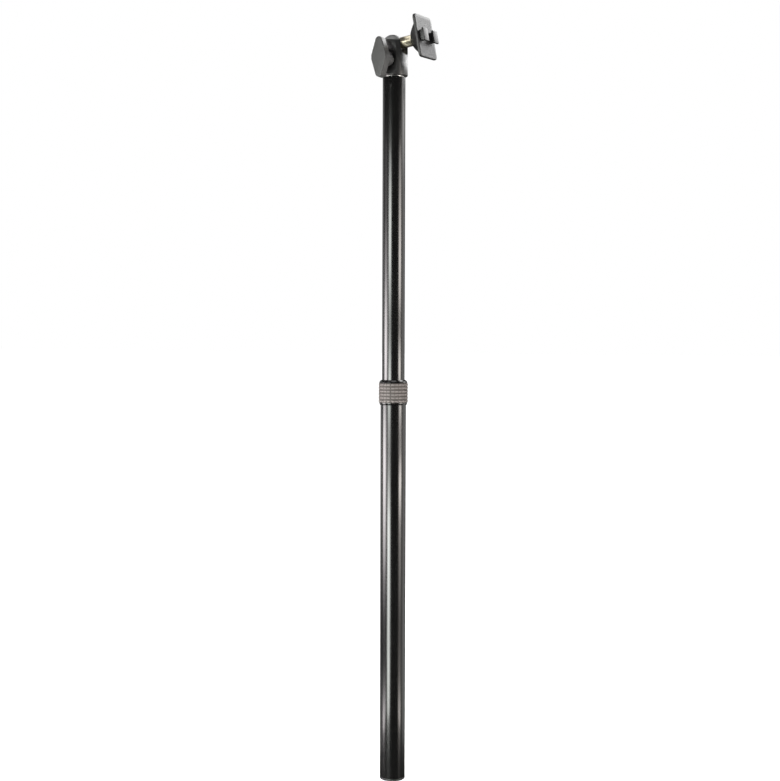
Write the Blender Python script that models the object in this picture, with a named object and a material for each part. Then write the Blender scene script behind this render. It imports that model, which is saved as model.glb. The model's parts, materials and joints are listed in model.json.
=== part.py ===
"""Two-section telescoping stand pole with a ball head and a T-tab device plate.

Units are metres, +Z runs up the pole, and the origin is the centre of the pole's lower face.
The head's notch opens towards +X and its clamp knob is screwed in from -Y.
"""
from math import asin, cos, pi, radians, sin, sqrt

import bmesh
import bpy
from mathutils import Matrix, Vector

MM = 0.001
GAP = 0.3 * MM                 # clearance that touching pieces keep

# Lower tube and its foot
LOWER_R = 14.3 * MM            # 28.6 mm tube
LOWER_BORE = 13.3 * MM
LOWER_START = 3.0 * MM
LOWER_TOP = 439.0 * MM
PLUG_TOP = 24.0 * MM
INSERT_R = 9.6 * MM
SOCKET_R = 7.95 * MM           # 5/8 inch stand thread
INSERT_TOP = 18.0 * MM

# Upper tube
UPPER_R = 12.7 * MM            # 25.4 mm tube
UPPER_BORE = 11.5 * MM
UPPER_START = 394.0 * MM
UPPER_TOP = 790.5 * MM
BUSH_DROP = 8.0 * MM           # the guide bush's flange below the tube
BUSH_R = 13.05 * MM

# Twist lock
SLEEVE_START = 424.6 * MM
SLEEVE_TOP = 441.0 * MM
SLEEVE_R = 15.3 * MM
LIP_TAPER = 1.6 * MM          # height of the sloping foot of the sleeve's lip
THROAT_R = 12.95 * MM          # narrow throat that stops the guide bush
COLLAR_START = 427.2 * MM
COLLAR_TOP = 449.1 * MM
COLLAR_R = 16.5 * MM
RIB_COUNT = 6
RIB_DEPTH = 0.45 * MM
CAP_TOP = 452.6 * MM
CAP_R = 15.9 * MM
COLLET_TOP = 447.4 * MM
SLIP_RING_T = 1.0 * MM

# Ball head
WASHER_R = 11.4 * MM
WASHER_TOP = 791.9 * MM
STUD_R = 3.0 * MM
HEAD_START = 792.2 * MM
HEAD_TOP = 831.0 * MM
HEAD_R = 15.25 * MM
BALL_R = 11.7 * MM
BALL = Vector((-2.0 * MM, 0.0, 826.6 * MM))
WELL_R = 7.5 * MM
WELL_START = 804.3 * MM
NOTCH_HALF = 8.4 * MM
NOTCH_FLOOR = 814.6 * MM
NOTCH_INNER = 6.5 * MM

# Clamp knob, on an axis along -Y
KNOB_Z = 808.3 * MM
SPOT_FACE_Y = 10.4 * MM
SPOT_FACE_R = 9.2 * MM
SCREW_R = 2.9 * MM
SCREW_HOLE_R = 3.2 * MM
PIN_R = 2.2 * MM
KNOB_WASHER_T = 0.6 * MM
HUB_LENGTH = 14.4 * MM
HUB_FOOT_R = 5.6 * MM
HUB_R = 8.1 * MM
HUB_FLARE = 4.7 * MM           # height over which the hub widens from its foot
KNOB_T = 10.1 * MM
KNOB_HALF_LENGTH = 22.1 * MM
KNOB_HALF_WIDTH = 9.3 * MM
KNOB_TIP_R = 4.2 * MM

# Stud and device plate, on an axis that leaves the ball through the notch
STUD_AZIMUTH = radians(4.62)
STUD_LIFT = radians(8.66)
PLATE_SPIN = radians(4.05)
HEX_FLATS = 11.5 * MM
HEX_START = 10.6 * MM
HUB_START = 25.2 * MM
HUB_SWELL = 0.72               # below 1 the hub bulges, above 1 it is hollow
HUB_SQUARING = 0.3             # share of the corner rounding lost at the plate
PLATE_BACK = 37.9 * MM
PLATE_FACE = 41.0 * MM
PLATE_SIZE = 47.4 * MM
PLATE_CORNER = 4.5 * MM
TAB_WIDTH = 13.0 * MM
TAB_HEIGHT = 14.0 * MM
TAB_PROUD = 6.2 * MM
TAB_CAP_T = 2.2 * MM
STEM_WIDTH = 9.0 * MM
STEM_HEIGHT = 11.0 * MM
TAB_OFFSET = 14.2 * MM

SIDES = 40


def material(name, colour, roughness, metallic):
    made = bpy.data.materials.new(name)
    made.use_nodes = True
    shader = made.node_tree.nodes["Principled BSDF"]
    shader.inputs["Base Color"].default_value = (*colour, 1.0)
    shader.inputs["Roughness"].default_value = roughness
    shader.inputs["Metallic"].default_value = metallic
    return made


FINISHES = {
    "black_enamel": ((0.012, 0.012, 0.012), 0.22, 0.0),
    "black_plastic": ((0.022, 0.022, 0.023), 0.45, 0.0),
    "grey_plastic": ((0.075, 0.075, 0.077), 0.55, 0.0),
    "knurled_metal": ((0.21, 0.185, 0.175), 0.42, 1.0),
    "bright_metal": ((0.78, 0.78, 0.77), 0.25, 1.0),
    "dark_metal": ((0.16, 0.16, 0.165), 0.35, 1.0),
    "satin_ball": ((0.06, 0.06, 0.062), 0.4, 0.0),
    "brass": ((0.78, 0.65, 0.36), 0.24, 1.0),
    "pale_nylon": ((0.62, 0.61, 0.57), 0.5, 0.0),
}


def link(name, mesh, finish):
    mesh.materials.append(MATERIALS[finish])
    made = bpy.data.objects.new(name, mesh)
    bpy.context.scene.collection.objects.link(made)
    return made


def finish_mesh(bm, name, smooth_angle=35.0):
    bmesh.ops.recalc_face_normals(bm, faces=bm.faces)
    mesh = bpy.data.meshes.new(name)
    bm.to_mesh(mesh)
    bm.free()
    mesh.shade_smooth()
    mesh.set_sharp_from_angle(angle=radians(smooth_angle))
    return mesh


def revolve(bm, outline, sides=SIDES, place=None):
    """Spins a closed outline of (radius, height) pairs about +Z into a ring or a solid."""
    rings = []
    for radius, height in outline:
        if radius < 1e-7:
            rings.append([bm.verts.new((0.0, 0.0, height))])
            continue
        steps = [2 * pi * i / sides for i in range(sides)]
        rings.append([bm.verts.new((radius * cos(a), radius * sin(a), height)) for a in steps])
    for lower, upper in zip(rings, rings[1:] + rings[:1]):
        if len(lower) == 1 and len(upper) == 1:
            continue
        for i in range(sides):
            j = (i + 1) % sides
            corners = [lower[i % len(lower)], lower[j % len(lower)]]
            corners += [upper[j % len(upper)], upper[i % len(upper)]]
            bm.faces.new(list(dict.fromkeys(corners)))
    if place is not None:
        bmesh.ops.transform(bm, matrix=place, verts=[v for ring in rings for v in ring])


def turned(name, outline, finish, sides=SIDES, place=None):
    bm = bmesh.new()
    revolve(bm, outline, sides, place)
    return link(name, finish_mesh(bm, name), finish)


def extrude_outline(bm, points, start, end, place=None):
    """Fills a closed outline in XY and raises it from start to end along Z."""
    low = [bm.verts.new((x, y, start)) for x, y in points]
    high = [bm.verts.new((x, y, end)) for x, y in points]
    count = len(points)
    bm.faces.new(list(reversed(low)))
    bm.faces.new(high)
    for i in range(count):
        j = (i + 1) % count
        bm.faces.new((low[i], low[j], high[j], high[i]))
    if place is not None:
        bmesh.ops.transform(bm, matrix=place, verts=low + high)


def arc(cx, cy, radius, start, end, steps):
    angles = [radians(start + (end - start) * i / steps) for i in range(steps + 1)]
    return [(cx + radius * cos(a), cy + radius * sin(a)) for a in angles]


def cutter(name, bm):
    mesh = finish_mesh(bm, name)
    made = bpy.data.objects.new(name, mesh)
    bpy.context.scene.collection.objects.link(made)
    made.hide_render = True
    made.display_type = "WIRE"
    return made


def boolean(target, tool, operation="DIFFERENCE"):
    change = target.modifiers.new(operation.title(), "BOOLEAN")
    change.operation = operation
    change.object = tool


def bevel_edge(radius, height, size, turn, steps=2):
    """Points round an outer or inner corner; turn is the quarter that the arc covers."""
    start = {"top_outer": 0, "top_inner": 90, "bottom_inner": 180, "bottom_outer": 270}[turn]
    side = -1 if turn.endswith("outer") else 1
    level = -1 if turn.startswith("top") else 1
    return arc(radius + side * size, height + level * size, size, start, start + 90, steps)


# Lower pole

def lower_tube():
    outline = [(LOWER_BORE, LOWER_START)]
    outline += [(LOWER_R, LOWER_START), (LOWER_R, LOWER_TOP), (LOWER_BORE, LOWER_TOP)]
    return turned("lower_tube", outline, "black_enamel")


def end_plug():
    flange_top = LOWER_START - GAP
    spigot = LOWER_BORE - GAP
    bore = INSERT_R + GAP
    outline = [(bore, 0.0)]
    outline += bevel_edge(LOWER_R, 0.0, 1.0 * MM, "bottom_outer")
    outline += [(LOWER_R, flange_top), (spigot, flange_top)]
    outline += [(spigot, PLUG_TOP - 1.5 * MM), (spigot - 1.0 * MM, PLUG_TOP), (bore, PLUG_TOP)]
    return turned("end_plug", outline, "black_plastic")


def base_insert():
    start = 0.4 * MM
    waist = INSERT_R - 0.9 * MM
    outline = [(SOCKET_R, start), (INSERT_R, start), (INSERT_R, 7.5 * MM), (waist, 8.2 * MM)]
    outline += [(waist, 10.2 * MM), (INSERT_R, 10.9 * MM), (INSERT_R, INSERT_TOP)]
    outline += [(SOCKET_R, INSERT_TOP)]
    return turned("base_insert", outline, "brass")


def lock_sleeve():
    inner = LOWER_R + GAP
    outline = [(inner, SLEEVE_START), (inner + 0.3 * MM, SLEEVE_START)]
    outline += [(SLEEVE_R + 0.3 * MM, SLEEVE_START + LIP_TAPER)]
    outline += [(SLEEVE_R + 0.3 * MM, COLLAR_START - GAP), (SLEEVE_R, COLLAR_START - GAP)]
    outline += [(SLEEVE_R, SLEEVE_TOP), (THROAT_R, SLEEVE_TOP)]
    outline += [(THROAT_R, LOWER_TOP + GAP), (inner, LOWER_TOP + GAP)]
    return turned("lock_sleeve", outline, "black_enamel")


def clamp_collet():
    foot = SLEEVE_TOP + GAP
    outline = [(THROAT_R, foot), (15.0 * MM, foot), (15.0 * MM, foot + 1.0 * MM)]
    outline += [(14.2 * MM, COLLET_TOP), (THROAT_R, COLLET_TOP)]
    collet = turned("clamp_collet", outline, "pale_nylon")
    slit = bmesh.new()
    slit_half = 0.7 * MM
    corners = [(0.0, -slit_half), (20 * MM, -slit_half), (20 * MM, slit_half), (0.0, slit_half)]
    extrude_outline(slit, corners, foot - 1 * MM, COLLET_TOP + 1 * MM)
    boolean(collet, cutter("collet_slit", slit))
    return collet


# Twist collar

def slip_ring():
    start = COLLET_TOP + GAP
    outline = [(THROAT_R, start), (14.2 * MM, start)]
    outline += [(14.2 * MM, start + SLIP_RING_T), (THROAT_R, start + SLIP_RING_T)]
    return turned("slip_ring", outline, "pale_nylon")


def lock_collar():
    inner = SLEEVE_R + GAP
    outline = [(inner, COLLAR_START)]
    root_r = COLLAR_R - RIB_DEPTH
    pitch = (COLLAR_TOP - COLLAR_START) / RIB_COUNT
    for i in range(RIB_COUNT):
        start = COLLAR_START + i * pitch
        outline += [(root_r, start), (COLLAR_R, start + 0.25 * pitch)]
        outline += [(COLLAR_R, start + 0.75 * pitch)]
    outline += [(root_r, COLLAR_TOP), (14.5 * MM, COLLAR_TOP)]
    outline += [(inner, COLLAR_TOP - 4.0 * MM)]
    return turned("lock_collar", outline, "knurled_metal")


def collar_cap():
    start = COLLAR_TOP + GAP
    inner = UPPER_R + 0.35 * MM
    dome = CAP_TOP - start
    outline = [(inner, start), (CAP_R, start)]
    outline += [(CAP_R - 2.6 * MM * (1 - cos(a)), start + dome * sin(a))
                for a in (radians(20 * i) for i in range(1, 5))]
    outline += [(inner, CAP_TOP)]
    return turned("collar_cap", outline, "black_enamel")


# Telescoping section

def guide_bush():
    start = UPPER_START - BUSH_DROP
    shoulder = UPPER_START - GAP
    spigot = UPPER_BORE - GAP
    outline = [(8.5 * MM, start), (BUSH_R - 0.8 * MM, start), (BUSH_R, start + 0.8 * MM)]
    outline += [(BUSH_R, shoulder), (spigot, shoulder)]
    outline += [(spigot, UPPER_START + 14 * MM), (8.5 * MM, UPPER_START + 14 * MM)]
    return turned("guide_bush", outline, "pale_nylon")


def upper_tube():
    outline = [(UPPER_BORE, UPPER_START), (UPPER_R, UPPER_START)]
    outline += bevel_edge(UPPER_R, UPPER_TOP, 0.5 * MM, "top_outer")
    outline += [(UPPER_BORE, UPPER_TOP)]
    return turned("upper_tube", outline, "black_enamel")


def top_plug():
    spigot = UPPER_BORE - GAP
    bore = STUD_R + GAP
    outline = [(bore, UPPER_TOP - 22 * MM), (spigot - 1 * MM, UPPER_TOP - 22 * MM)]
    outline += [(spigot, UPPER_TOP - 21 * MM), (spigot, UPPER_TOP), (bore, UPPER_TOP)]
    return turned("top_plug", outline, "bright_metal")


def top_washer():
    bore = STUD_R + GAP
    start = UPPER_TOP + GAP
    outline = [(bore, start), (WASHER_R, start), (WASHER_R, WASHER_TOP), (bore, WASHER_TOP)]
    return turned("top_washer", outline, "bright_metal")


def head_stud():
    start, end = UPPER_TOP - 19 * MM, HEAD_START + 9.5 * MM
    chamfer = 0.6 * MM
    outline = [(0.0, start), (STUD_R - chamfer, start), (STUD_R, start + chamfer)]
    outline += [(STUD_R, end - chamfer), (STUD_R - chamfer, end), (0.0, end)]
    return turned("head_stud", outline, "dark_metal", sides=24)


# Ball head

def knob_axis(depth=0.0):
    """Takes +Z to -Y, on the clamp knob's axis, starting depth out from the pole's axis."""
    return Matrix.Translation((0.0, -depth, KNOB_Z)) @ Matrix.Rotation(pi / 2, 4, "X")


def head_cavity():
    """The ball pocket and the well under it, as one turned shape about the ball's axis."""
    pocket = BALL_R + GAP
    join = asin(WELL_R / pocket)
    outline = [(0.0, WELL_START), (WELL_R, WELL_START)]
    steps = 10
    for i in range(steps + 1):
        angle = -pi / 2 + join + (radians(66) + pi / 2 - join) * i / steps
        outline.append((pocket * cos(angle), BALL.z + pocket * sin(angle)))
    outline += [(outline[-1][0], HEAD_TOP + 6 * MM), (0.0, HEAD_TOP + 6 * MM)]
    bm = bmesh.new()
    revolve(bm, outline, SIDES, Matrix.Translation((BALL.x, 0.0, 0.0)))
    return cutter("head_cavity", bm)


def stud_hole():
    bm = bmesh.new()
    radius = STUD_R + GAP
    outline = [(0.0, HEAD_START - 2 * MM), (radius, HEAD_START - 2 * MM)]
    outline += [(radius, HEAD_START + 10.5 * MM), (0.0, HEAD_START + 10.5 * MM)]
    revolve(bm, outline, 24)
    return cutter("stud_hole", bm)


def notch():
    """The U-shaped notch that lets the stud lie level."""
    centre = NOTCH_FLOOR + NOTCH_HALF
    top = HEAD_TOP + 5 * MM
    points = [(NOTCH_HALF, top), (-NOTCH_HALF, top)]
    points += arc(0.0, centre, NOTCH_HALF, 180, 360, 16)
    bm = bmesh.new()
    stand_up = Matrix.Rotation(pi / 2, 4, "Z") @ Matrix.Rotation(pi / 2, 4, "X")
    extrude_outline(bm, points, NOTCH_INNER, HEAD_R + 4 * MM, stand_up)
    return cutter("notch", bm)


def spot_face():
    bm = bmesh.new()
    outer = HEAD_R + 3 * MM - SPOT_FACE_Y
    outline = [(0.0, 0.0), (SPOT_FACE_R, 0.0), (SPOT_FACE_R, outer), (0.0, outer)]
    revolve(bm, outline, 36, knob_axis(SPOT_FACE_Y))
    return cutter("spot_face", bm)


def screw_hole():
    bm = bmesh.new()
    inner = 3.0 * MM
    length = SPOT_FACE_Y + 1 * MM - inner
    outline = [(0.0, 0.0), (SCREW_HOLE_R, 0.0), (SCREW_HOLE_R, length), (0.0, length)]
    revolve(bm, outline, 24, knob_axis(inner))
    return cutter("screw_hole", bm)


def head_housing():
    outline = [(0.0, HEAD_START), (HEAD_R - 0.4 * MM, HEAD_START)]
    outline += [(HEAD_R, HEAD_START + 0.4 * MM)]
    outline += bevel_edge(HEAD_R, HEAD_TOP, 1.4 * MM, "top_outer", 3)
    outline += [(0.0, HEAD_TOP)]
    housing = turned("head_housing", outline, "black_plastic")
    for tool in (head_cavity(), stud_hole(), notch(), spot_face(), screw_hole()):
        boolean(housing, tool)
    return housing


def seat_wedge():
    """The block that the pressure pin's cone lifts, in the well under the ball seat."""
    radius = WELL_R - GAP
    start, end = WELL_START + 0.7 * MM, KNOB_Z + PIN_R + 0.9 * MM
    outline = [(0.0, start), (radius, start), (radius, end), (0.0, end)]
    place = Matrix.Translation((BALL.x, 0.0, 0.0))
    wedge = turned("seat_wedge", outline, "dark_metal", 36, place)
    bore = bmesh.new()
    wide = PIN_R + 0.4 * MM
    tip = -(2.6 * MM)
    outline = [(0.0, tip), (wide, tip + wide), (wide, 12 * MM), (0.0, 12 * MM)]
    revolve(bore, outline, 24, knob_axis())
    boolean(wedge, cutter("wedge_bore", bore))
    return wedge


def ball_seat():
    radius = WELL_R - GAP
    start = KNOB_Z + PIN_R + 1.2 * MM
    cup = BALL_R + GAP
    rim = asin(radius / cup)
    outline = [(0.0, start), (radius, start)]
    steps = 5
    for i in range(steps):
        angle = rim * (1 - i / steps)
        outline.append((cup * sin(angle), BALL.z - cup * cos(angle)))
    outline.append((0.0, BALL.z - cup))
    place = Matrix.Translation((BALL.x, 0.0, 0.0))
    return turned("ball_seat", outline, "pale_nylon", 36, place)


def pressure_pin():
    start = 7.3 * MM
    tip = -(1.9 * MM)
    outline = [(0.0, tip), (PIN_R, tip + PIN_R), (PIN_R, start), (0.0, start)]
    return turned("pressure_pin", outline, "dark_metal", 24, knob_axis())


def knob_screw():
    start, end = 7.6 * MM, SPOT_FACE_Y + KNOB_WASHER_T + 9.0 * MM
    outline = [(0.0, start), (SCREW_R - 0.5 * MM, start), (SCREW_R, start + 0.5 * MM)]
    outline += [(SCREW_R, end), (0.0, end)]
    return turned("knob_screw", outline, "bright_metal", 24, knob_axis())


def knob_washer():
    start = SPOT_FACE_Y + GAP
    outline = [(SCREW_R + GAP, start), (HUB_FOOT_R - 0.2 * MM, start)]
    outline += [(HUB_FOOT_R - 0.2 * MM, start + KNOB_WASHER_T), (SCREW_R + GAP, start + KNOB_WASHER_T)]
    return turned("knob_washer", outline, "pale_nylon", 36, knob_axis())


def knob_outline():
    """A long rhomb with its four corners cut or rounded, in the knob's own XY plane."""
    tip = KNOB_HALF_LENGTH - KNOB_TIP_R
    flat = 2.2 * MM
    half = [(KNOB_HALF_WIDTH, -flat), (KNOB_HALF_WIDTH, flat)]
    half += arc(0.0, tip, KNOB_TIP_R, 18, 162, 6)
    return half + [(-x, -y) for x, y in half]


def clamp_knob():
    hub_start = SPOT_FACE_Y + KNOB_WASHER_T + 2 * GAP
    bar_start = hub_start + HUB_LENGTH
    bm = bmesh.new()
    extrude_outline(bm, knob_outline(), bar_start, bar_start + KNOB_T, knob_axis())
    knob = link("clamp_knob", finish_mesh(bm, "clamp_knob"), "grey_plastic")
    edge = knob.modifiers.new("Rounded edges", "BEVEL")
    edge.width = 1.0 * MM
    edge.segments = 2
    edge.limit_method = "ANGLE"
    hub = bmesh.new()
    bury = 3 * MM
    outline = [(0.0, hub_start), (HUB_FOOT_R, hub_start), (HUB_R, hub_start + HUB_FLARE)]
    outline += [(HUB_R, bar_start + bury)]
    outline += [(0.0, bar_start + bury)]
    revolve(hub, outline, 36, knob_axis())
    boolean(knob, cutter("knob_hub", hub), "UNION")
    hole = bmesh.new()
    radius = SCREW_R + GAP
    end = SPOT_FACE_Y + KNOB_WASHER_T + 9.4 * MM
    outline = [(0.0, hub_start - 1 * MM), (radius, hub_start - 1 * MM)]
    outline += [(radius, end), (0.0, end)]
    revolve(hole, outline, 24, knob_axis())
    boolean(knob, cutter("knob_hole", hole))
    return knob


# Ball, stud and device plate

def plate_axis():
    """Local +Z along the stud, +X across the plate and +Y up the plate, from the ball."""
    out = Vector((cos(STUD_LIFT) * cos(STUD_AZIMUTH), cos(STUD_LIFT) * sin(STUD_AZIMUTH),
                  sin(STUD_LIFT)))
    across = Vector((-sin(STUD_AZIMUTH), cos(STUD_AZIMUTH), 0.0))
    up = out.cross(across)
    turn = Matrix((across, up, out)).transposed().to_4x4()
    return Matrix.Translation(BALL) @ turn @ Matrix.Rotation(PLATE_SPIN, 4, "Z")


def pivot_ball():
    """A ball with a flat where the stud is screwed in."""
    flat_z = HEX_START - GAP
    flat_r = sqrt(BALL_R ** 2 - flat_z ** 2)
    steps = 14
    first = asin(flat_z / BALL_R)
    outline = [(0.0, -BALL_R)]
    for i in range(1, steps):
        angle = -pi / 2 + (first + pi / 2) * i / steps
        outline.append((BALL_R * cos(angle), BALL_R * sin(angle)))
    hole_r = STUD_R + GAP
    outline += [(flat_r, flat_z), (hole_r, flat_z), (hole_r, 2.0 * MM), (0.0, 2.0 * MM)]
    return turned("pivot_ball", outline, "satin_ball", 32, plate_axis())


def ball_stud():
    """A hexagon bar with a threaded end in the ball and another in the plate."""
    hex_r = HEX_FLATS / 2 / cos(pi / 6)
    points = arc(0.0, 0.0, hex_r, 0, 300, 5)
    bm = bmesh.new()
    hex_end = HUB_START + 3.0 * MM
    extrude_outline(bm, points, HEX_START, hex_end, plate_axis())
    stud = link("ball_stud", finish_mesh(bm, "ball_stud"), "brass")
    thread = bmesh.new()
    outline = [(0.0, 2.4 * MM), (STUD_R, 2.4 * MM), (STUD_R, 35.0 * MM), (0.0, 35.0 * MM)]
    revolve(thread, outline, 24, plate_axis())
    boolean(stud, cutter("stud_thread", thread), "UNION")
    return stud


def plate_insert():
    start = HUB_START + 3.0 * MM + GAP
    outline = [(STUD_R + GAP, start), (5.0 * MM, start), (5.0 * MM, 35.6 * MM)]
    outline += [(STUD_R + GAP, 35.6 * MM)]
    return turned("plate_insert", outline, "brass", 24, plate_axis())


def rounded_square(half, corner, steps=5):
    points = []
    for cx, cy, start in ((1, 1, 0), (-1, 1, 90), (-1, -1, 180), (1, -1, 270)):
        inner = half - corner
        points += arc(cx * inner, cy * inner, corner, start, start + 90, steps)
    return points


def plate_hub():
    """The hub behind the plate: a round neck that swells out into a rounded dome."""
    levels = 7
    depth = PLATE_BACK - GAP - HUB_START
    neck, foot = 7.2 * MM, PLATE_SIZE / 2 - 2.2 * MM
    bm = bmesh.new()
    rings = []
    for i in range(levels):
        t = i / (levels - 1)
        half = neck + (foot - neck) * t ** HUB_SWELL
        corner = half * (1 - HUB_SQUARING * t)
        height = HUB_START + depth * t
        rings.append([bm.verts.new((x, y, height)) for x, y in rounded_square(half, corner)])
    for low, high in zip(rings, rings[1:]):
        for i, vert in enumerate(low):
            j = (i + 1) % len(low)
            bm.faces.new((vert, low[j], high[j], high[i]))
    bm.faces.new(list(reversed(rings[0])))
    bm.faces.new(rings[-1])
    bmesh.ops.transform(bm, matrix=plate_axis(), verts=bm.verts)
    hub = link("plate_hub", finish_mesh(bm, "plate_hub"), "black_plastic")
    socket = bmesh.new()
    hex_r = HEX_FLATS / 2 / cos(pi / 6) + GAP
    points = arc(0.0, 0.0, hex_r, 0, 300, 5)
    shelf = HUB_START + 3.0 * MM + GAP
    extrude_outline(socket, points, HUB_START - 1 * MM, shelf, plate_axis())
    boolean(hub, cutter("hub_hex_socket", socket))
    bore = bmesh.new()
    outline = [(0.0, shelf - 1 * MM), (5.0 * MM + GAP, shelf - 1 * MM)]
    outline += [(5.0 * MM + GAP, PLATE_BACK + 1 * MM), (0.0, PLATE_BACK + 1 * MM)]
    revolve(bore, outline, 24, plate_axis())
    boolean(hub, cutter("hub_bore", bore))
    return hub


def tab_box(width, height, start, end, offset):
    points = [(-width / 2 + offset, -height / 2), (width / 2 + offset, -height / 2)]
    points += [(width / 2 + offset, height / 2), (-width / 2 + offset, height / 2)]
    bm = bmesh.new()
    extrude_outline(bm, points, start, end, plate_axis())
    return bm


def device_plate():
    bm = bmesh.new()
    outline = rounded_square(PLATE_SIZE / 2, PLATE_CORNER)
    extrude_outline(bm, outline, PLATE_BACK, PLATE_FACE, plate_axis())
    plate = link("device_plate", finish_mesh(bm, "device_plate"), "black_plastic")
    bury = 1.0 * MM
    cap_start = PLATE_FACE + TAB_PROUD - TAB_CAP_T
    for side, offset in (("left", -TAB_OFFSET), ("right", TAB_OFFSET)):
        stem = tab_box(STEM_WIDTH, STEM_HEIGHT, PLATE_FACE - bury, cap_start + bury, offset)
        boolean(plate, cutter(side + "_stem", stem), "UNION")
        cap = tab_box(TAB_WIDTH, TAB_HEIGHT, cap_start, PLATE_FACE + TAB_PROUD, offset)
        boolean(plate, cutter(side + "_cap", cap), "UNION")
    return plate


for leftover in list(bpy.data.objects):
    bpy.data.objects.remove(leftover, do_unlink=True)

MATERIALS = {name: material(name, *values) for name, values in FINISHES.items()}

for build in (lower_tube, end_plug, base_insert, lock_sleeve, clamp_collet, slip_ring,
              lock_collar, collar_cap, guide_bush, upper_tube, top_plug, top_washer,
              head_stud, head_housing, seat_wedge, ball_seat, pressure_pin, knob_screw,
              knob_washer, clamp_knob, pivot_ball, ball_stud, plate_insert, plate_hub,
              device_plate):
    build()
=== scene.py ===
import json
from math import asin, cos, pi, radians, sin, tan

import bmesh
import bpy
from mathutils import Matrix, Vector


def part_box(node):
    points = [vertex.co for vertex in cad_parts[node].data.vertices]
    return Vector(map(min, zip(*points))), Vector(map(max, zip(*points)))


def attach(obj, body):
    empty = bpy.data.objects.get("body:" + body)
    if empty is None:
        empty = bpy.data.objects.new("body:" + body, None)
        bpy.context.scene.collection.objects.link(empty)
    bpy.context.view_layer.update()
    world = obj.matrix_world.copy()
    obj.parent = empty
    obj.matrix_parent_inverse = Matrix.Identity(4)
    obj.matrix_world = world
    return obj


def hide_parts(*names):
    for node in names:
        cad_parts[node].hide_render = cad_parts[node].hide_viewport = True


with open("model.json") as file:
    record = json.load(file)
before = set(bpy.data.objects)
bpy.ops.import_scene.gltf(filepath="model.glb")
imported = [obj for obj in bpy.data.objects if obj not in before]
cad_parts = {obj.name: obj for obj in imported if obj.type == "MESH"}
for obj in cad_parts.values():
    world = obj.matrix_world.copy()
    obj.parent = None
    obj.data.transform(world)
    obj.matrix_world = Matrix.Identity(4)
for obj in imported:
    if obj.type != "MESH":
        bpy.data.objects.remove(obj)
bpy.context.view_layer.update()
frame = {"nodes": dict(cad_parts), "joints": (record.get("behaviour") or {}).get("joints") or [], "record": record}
mm = 0.001
touchGap = 0.3 * mm  # what touching pieces keep between them
sleeveLip = 0.3 * mm  # how far the lock sleeve's lip stands out from its barrel
onAxis = 1e-7  # a ring this small is a single point
sharpAngle = 32.0  # degrees; steeper edges are shaded sharp

joints = {joint["name"]: joint for joint in frame["joints"]}
mounts = {mount["name"]: mount for mount in frame["record"]["mounts"]}


# Nodes, for materials and for Geometry Nodes alike

class Wire:  # one socket's output, so that node sums read as Python sums
    def __init__(self, tree, socket):
        self.tree, self.socket = tree, socket

    def sum(self, operation, first, second):
        return self.tree.node("ShaderNodeMath", {"operation": operation}, {0: first, 1: second})

    def __getitem__(self, output):
        return Wire(self.tree, self.socket.node.outputs[output])

    def __add__(self, other):
        return self.sum("ADD", self, other)

    def __radd__(self, other):
        return self.sum("ADD", other, self)

    def __sub__(self, other):
        return self.sum("SUBTRACT", self, other)

    def __rsub__(self, other):
        return self.sum("SUBTRACT", other, self)

    def __mul__(self, other):
        return self.sum("MULTIPLY", self, other)

    def __truediv__(self, other):
        return self.sum("DIVIDE", self, other)

    def __pow__(self, other):
        return self.sum("POWER", self, other)


class NodeTree:
    def __init__(self, tree):
        self.tree = tree

    def feed(self, socket, value):
        if isinstance(value, Wire):
            self.tree.links.new(value.socket, socket)
        else:
            socket.default_value = value

    def node(self, kind, settings=None, inputs=None):
        made = self.tree.nodes.new(kind)
        for name, value in (settings or {}).items():
            if name == "stops":
                fillRamp(made.color_ramp, value)
            else:
                setattr(made, name, value)
        for name, value in (inputs or {}).items():
            self.feed(made.inputs[name], value)
        return Wire(self, made.outputs[0]) if made.outputs else None


def fillRamp(ramp, stops):
    ramp.elements[0].position, ramp.elements[1].position = stops[0][0], stops[-1][0]
    ends = [ramp.elements[0], ramp.elements[1]]
    for element, stop in zip(ends, (stops[0], stops[-1])):
        element.color = (*stop[1], 1.0)
    for place, colour in stops[1:-1]:
        ramp.elements.new(place).color = (*colour, 1.0)


# Mesh helpers

def rounded(corners, steps=4):  # a closed outline of (x, y, corner radius), with the corners as arcs
    outline = []
    for i, (x, y, radius) in enumerate(corners):
        here = Vector((x, y))
        if radius <= 0.0:
            outline.append(here)
            continue
        back = (Vector(corners[i - 1][:2]) - here).normalized()
        ahead = (Vector(corners[(i + 1) % len(corners)][:2]) - here).normalized()
        half = back.angle(ahead) / 2
        centre = here + (back + ahead).normalized() * radius / sin(half)
        start = here + back * radius / tan(half) - centre
        end = here + ahead * radius / tan(half) - centre
        sweep = start.angle(end)
        for step in range(steps + 1):
            t = step / steps
            mixed = start * sin((1 - t) * sweep) + end * sin(t * sweep)
            outline.append(centre + mixed / sin(sweep))
    return outline


def turnInto(bm, outline, sides, place):  # spins an outline of (radius, height) about +Z
    rings = []
    for radius, height in outline:
        if radius < onAxis:
            rings.append([bm.verts.new((0.0, 0.0, height))])
            continue
        turns = [2 * pi * i / sides for i in range(sides)]
        rings.append([bm.verts.new((radius * cos(a), radius * sin(a), height)) for a in turns])
    for low, high in zip(rings, rings[1:] + rings[:1]):
        if len(low) == 1 and len(high) == 1:
            continue
        for i in range(sides):
            j = (i + 1) % sides
            ring = [low[i % len(low)], low[j % len(low)], high[j % len(high)], high[i % len(high)]]
            bm.faces.new(list(dict.fromkeys(ring)))
    bmesh.ops.transform(bm, matrix=place, verts=bm.verts)


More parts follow.
